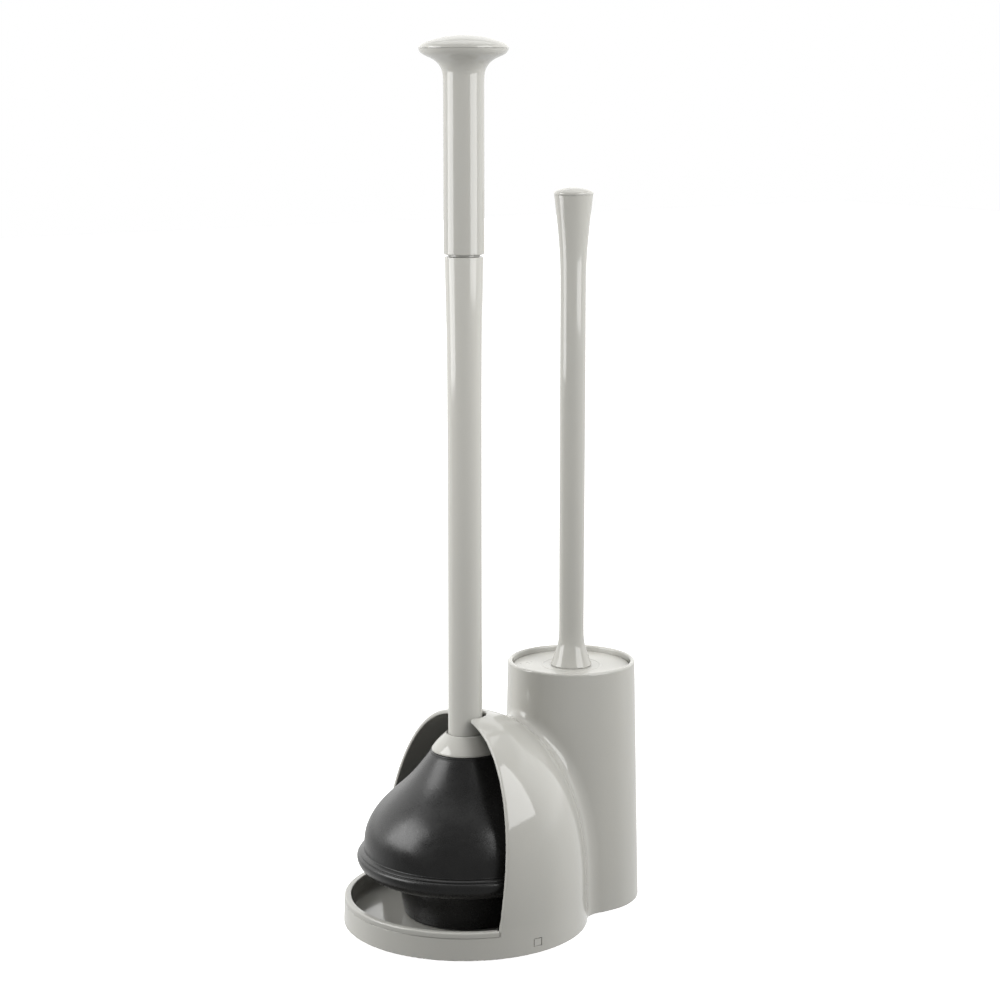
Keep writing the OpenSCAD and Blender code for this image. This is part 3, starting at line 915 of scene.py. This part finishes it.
def bristles():
    rnd = random.Random(7)
    R, ZC, TOP = 28.0, 118.0, 151.2

    def reach(r0, z0, dr, dz):
        """How far a straight bristle from (r0, z0) may go before it meets the trimmed outline."""
        lo, hi = 0.0, 60.0
        for _ in range(28):
            m = (lo + hi) / 2
            r, z = r0 + dr * m, z0 + dz * m
            ok = r < R and z < TOP and (z > ZC or math.hypot(r, z - ZC) < R)
            lo, hi = (m, hi) if ok else (lo, m)
        return lo

    verts, faces = [], []
    tufts = []
    rings = [(101.2, -38, 12), (104.6, -27, 16), (108.4, -18, 20), (112.4, -11, 20), (116.5, -6, 20), (120.7, -2.5, 20), (124.9, 0, 20), (129.1, 1, 20), (133.3, 2, 20), (137.5, 3, 20), (141.7, 4, 20), (145.9, 5, 20)]
    for k, (z, tilt, count) in enumerate(rings):
        for i in range(count):
            a = 2 * math.pi * (i + 0.5 * (k % 2)) / count
            r0 = 8.6 if z > 104 else 7.4
            tufts.append((a, r0, z, math.radians(tilt)))
    for i in range(8):
        tufts.append((2 * math.pi * i / 8 + 0.2, 4.9, 98.2, math.radians(-58)))
    for i in range(4):
        tufts.append((2 * math.pi * i / 4, 2.1, 97.2, math.radians(-76)))
    sides, parts = 4, 4
    for a0, r0, z0, t0 in tufts:
        for _ in range(17):
            # a filament fans out from the tuft's hole
            da, dt = rnd.gauss(0, 0.085), rnd.gauss(0, 0.085)
            a, t = a0 + rnd.uniform(-0.06, 0.06), t0 + dt
            px, py = r0 * math.cos(a), r0 * math.sin(a)
            d = Vector((math.cos(a0 + da) * math.cos(t), math.sin(a0 + da) * math.cos(t), math.sin(t)))
            dr = d.x * math.cos(a) + d.y * math.sin(a)
            length = reach(r0, z0, max(dr, 0.05), d.z) * rnd.uniform(0.93, 0.992)
            side = d.orthogonal().normalized()
            other = d.cross(side)
            bend = rnd.uniform(-0.9, 0.9)
            swing = rnd.uniform(0, 2 * math.pi)
            off = side * math.cos(swing) + other * math.sin(swing)
            start = len(verts)
            for s in range(parts + 1):
                u = s / parts
                c = Vector((px, py, z0 + rnd.uniform(-0.01, 0.01))) + d * length * u + off * bend * (u * u - u) * 0.9
                rad = 0.23 * (1 - 0.25 * u)
                for q in range(sides):
                    w = 2 * math.pi * q / sides
                    p = c + (side * math.cos(w) + other * math.sin(w)) * rad
                    verts.append((BX + p.x, p.y, p.z))
            for s in range(parts):
                for q in range(sides):
                    i0, i1 = start + s * sides + q, start + s * sides + (q + 1) % sides
                    faces.append((i0, i1, i1 + sides, i0 + sides))
            faces.append(tuple(start + q for q in range(sides))[::-1])
            faces.append(tuple(start + parts * sides + q for q in range(sides)))
    make("bristle_tufts", verts, faces, None, nylon, "brush", ("bristles",))


bristles()


# ---------------------------------------------------------------- the CAD pieces that stay

for node, mat in (("base_plate", plastic_satin),):
    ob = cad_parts[node]
    if ob.data.materials:
        for i in range(len(ob.material_slots)):
            ob.material_slots[i].material = mat
    else:
        ob.data.materials.append(mat)


# ---------------------------------------------------------------- floor, camera, light

me = bpy.data.meshes.new("floor")
bm = bmesh.new()
bmesh.ops.create_grid(bm, x_segments=8, y_segments=8, size=6)
bm.to_mesh(me)
bm.free()
floor = bpy.data.objects.new("floor", me)
floor.location = (0, 0, -0.0002)
bpy.context.scene.collection.objects.link(floor)
me.materials.append(floor_mat("floor_pale"))
floor.visible_diffuse = False
floor.visible_glossy = False

scene = bpy.context.scene
cam = bpy.data.objects.new("camera", bpy.data.cameras.new("camera"))
scene.collection.objects.link(cam)
cam.data.sensor_width = 36
cam.data.lens = 86.92
cam.data.clip_start, cam.data.clip_end = 0.05, 50
cam.location = (-0.88943, -1.24446, 0.55249)
look = Vector((0.57290, 0.80010, -0.17760))
cam.rotation_mode = "QUATERNION"
cam.rotation_quaternion = look.to_track_quat("-Z", "Y")
scene.camera = cam

AIM = Vector((0.0, 0.0, 0.30))
view_dir = Vector((-0.88943, -1.24446, 0)).normalized()  # from the object towards the camera


def softbox(name, degrees, distance, low, high, width, radiance, colour=(1, 1, 1)):
    """A standing softbox, degrees to the right of the camera as seen from the object."""
    a = math.radians(degrees)
    c, s = math.cos(a), math.sin(a)
    d = Vector((view_dir.x * c - view_dir.y * s, view_dir.x * s + view_dir.y * c, 0))
    light = bpy.data.lights.new(name, "AREA")
    light.shape = "RECTANGLE"
    light.size, light.size_y = width, high - low
    light.energy = radiance * math.pi * width * (high - low)
    light.color = colour
    ob = bpy.data.objects.new(name, light)
    foot = Vector((PX * MM, 0, (low + high) / 2))
    ob.location = foot + d * distance
    ob.rotation_mode = "QUATERNION"
    ob.rotation_quaternion = (-d).to_track_quat("-Z", "Y")
    scene.collection.objects.link(ob)
    return ob


softbox("key_left", -80.5, 0.80, 0.24, 1.00, 0.58, 5.5)
softbox("key_right", 58, 0.80, 0.30, 1.24, 0.60, 4.7)

top = bpy.data.lights.new("top", "AREA")
top.shape = "RECTANGLE"
top.size, top.size_y = 1.5, 1.0
top.energy = 1.5 * math.pi * 1.5
top_ob = bpy.data.objects.new("top", top)
top_ob.location = (0.25, 0.35, 1.75)
top_ob.rotation_mode = "QUATERNION"
top_ob.rotation_quaternion = (Vector((0, 0, 0.2)) - top_ob.location).to_track_quat("-Z", "Y")
scene.collection.objects.link(top_ob)

world = bpy.data.worlds.new("studio")
scene.world = world
world.use_nodes = True
wt = world.node_tree
wt.nodes.clear()
out = wt.nodes.new("ShaderNodeOutputWorld")
mixs = wt.nodes.new("ShaderNodeMixShader")
path = wt.nodes.new("ShaderNodeLightPath")
seen = wt.nodes.new("ShaderNodeBackground")
seen.inputs["Color"].default_value = (1, 1, 1, 1)
seen.inputs["Strength"].default_value = 1.0
room = wt.nodes.new("ShaderNodeBackground")
coord = wt.nodes.new("ShaderNodeTexCoord")
dot = wt.nodes.new("ShaderNodeVectorMath")
dot.operation = "DOT_PRODUCT"
dot.inputs[1].default_value = (-view_dir.x, -view_dir.y, 0.15)
wt.links.new(coord.outputs["Generated"], dot.inputs[0])
rng = wt.nodes.new("ShaderNodeMapRange")
rng.interpolation_type = "SMOOTHSTEP"
for k, val in zip(("From Min", "From Max", "To Min", "To Max"), (-0.30, 0.35, 0.0, 1.0)):
    rng.inputs[k].default_value = val
wt.links.new(dot.outputs["Value"], rng.inputs["Value"])
# the white wall behind the object ends at some height
sep = wt.nodes.new("ShaderNodeSeparateXYZ")
wt.links.new(coord.outputs["Generated"], sep.inputs[0])
high = wt.nodes.new("ShaderNodeMapRange")
high.interpolation_type = "SMOOTHSTEP"
for k, val in zip(("From Min", "From Max", "To Min", "To Max"), (0.60, 0.72, 1.0, 0.25)):
    high.inputs[k].default_value = val
wt.links.new(sep.outputs["Z"], high.inputs["Value"])
wall = wt.nodes.new("ShaderNodeMath")
wall.operation = "MULTIPLY"
wt.links.new(rng.outputs["Result"], wall.inputs[0])
wt.links.new(high.outputs["Result"], wall.inputs[1])
up = wt.nodes.new("ShaderNodeMapRange")
up.interpolation_type = "SMOOTHSTEP"
for k, val in zip(("From Min", "From Max", "To Min", "To Max"), (-0.02, 0.10, 0.52, 1.25)):
    up.inputs[k].default_value = val
wt.links.new(sep.outputs["Z"], up.inputs["Value"])
tall = wt.nodes.new("ShaderNodeMath")
tall.operation = "MULTIPLY"
wt.links.new(wall.outputs[0], tall.inputs[0])
wt.links.new(up.outputs["Result"], tall.inputs[1])
level = wt.nodes.new("ShaderNodeMath")
level.operation = "ADD"
level.inputs[1].default_value = 0.42
wt.links.new(tall.outputs[0], level.inputs[0])
room.inputs["Color"].default_value = (1, 1, 0.99, 1)
wt.links.new(level.outputs[0], room.inputs["Strength"])
wt.links.new(path.outputs["Is Camera Ray"], mixs.inputs["Fac"])
wt.links.new(room.outputs["Background"], mixs.inputs[1])
wt.links.new(seen.outputs["Background"], mixs.inputs[2])
wt.links.new(mixs.outputs["Shader"], out.inputs["Surface"])

scene.view_settings.view_transform = "Standard"
scene.view_settings.look = "None"
scene.view_settings.exposure = 0.0
scene.view_settings.gamma = 1.0
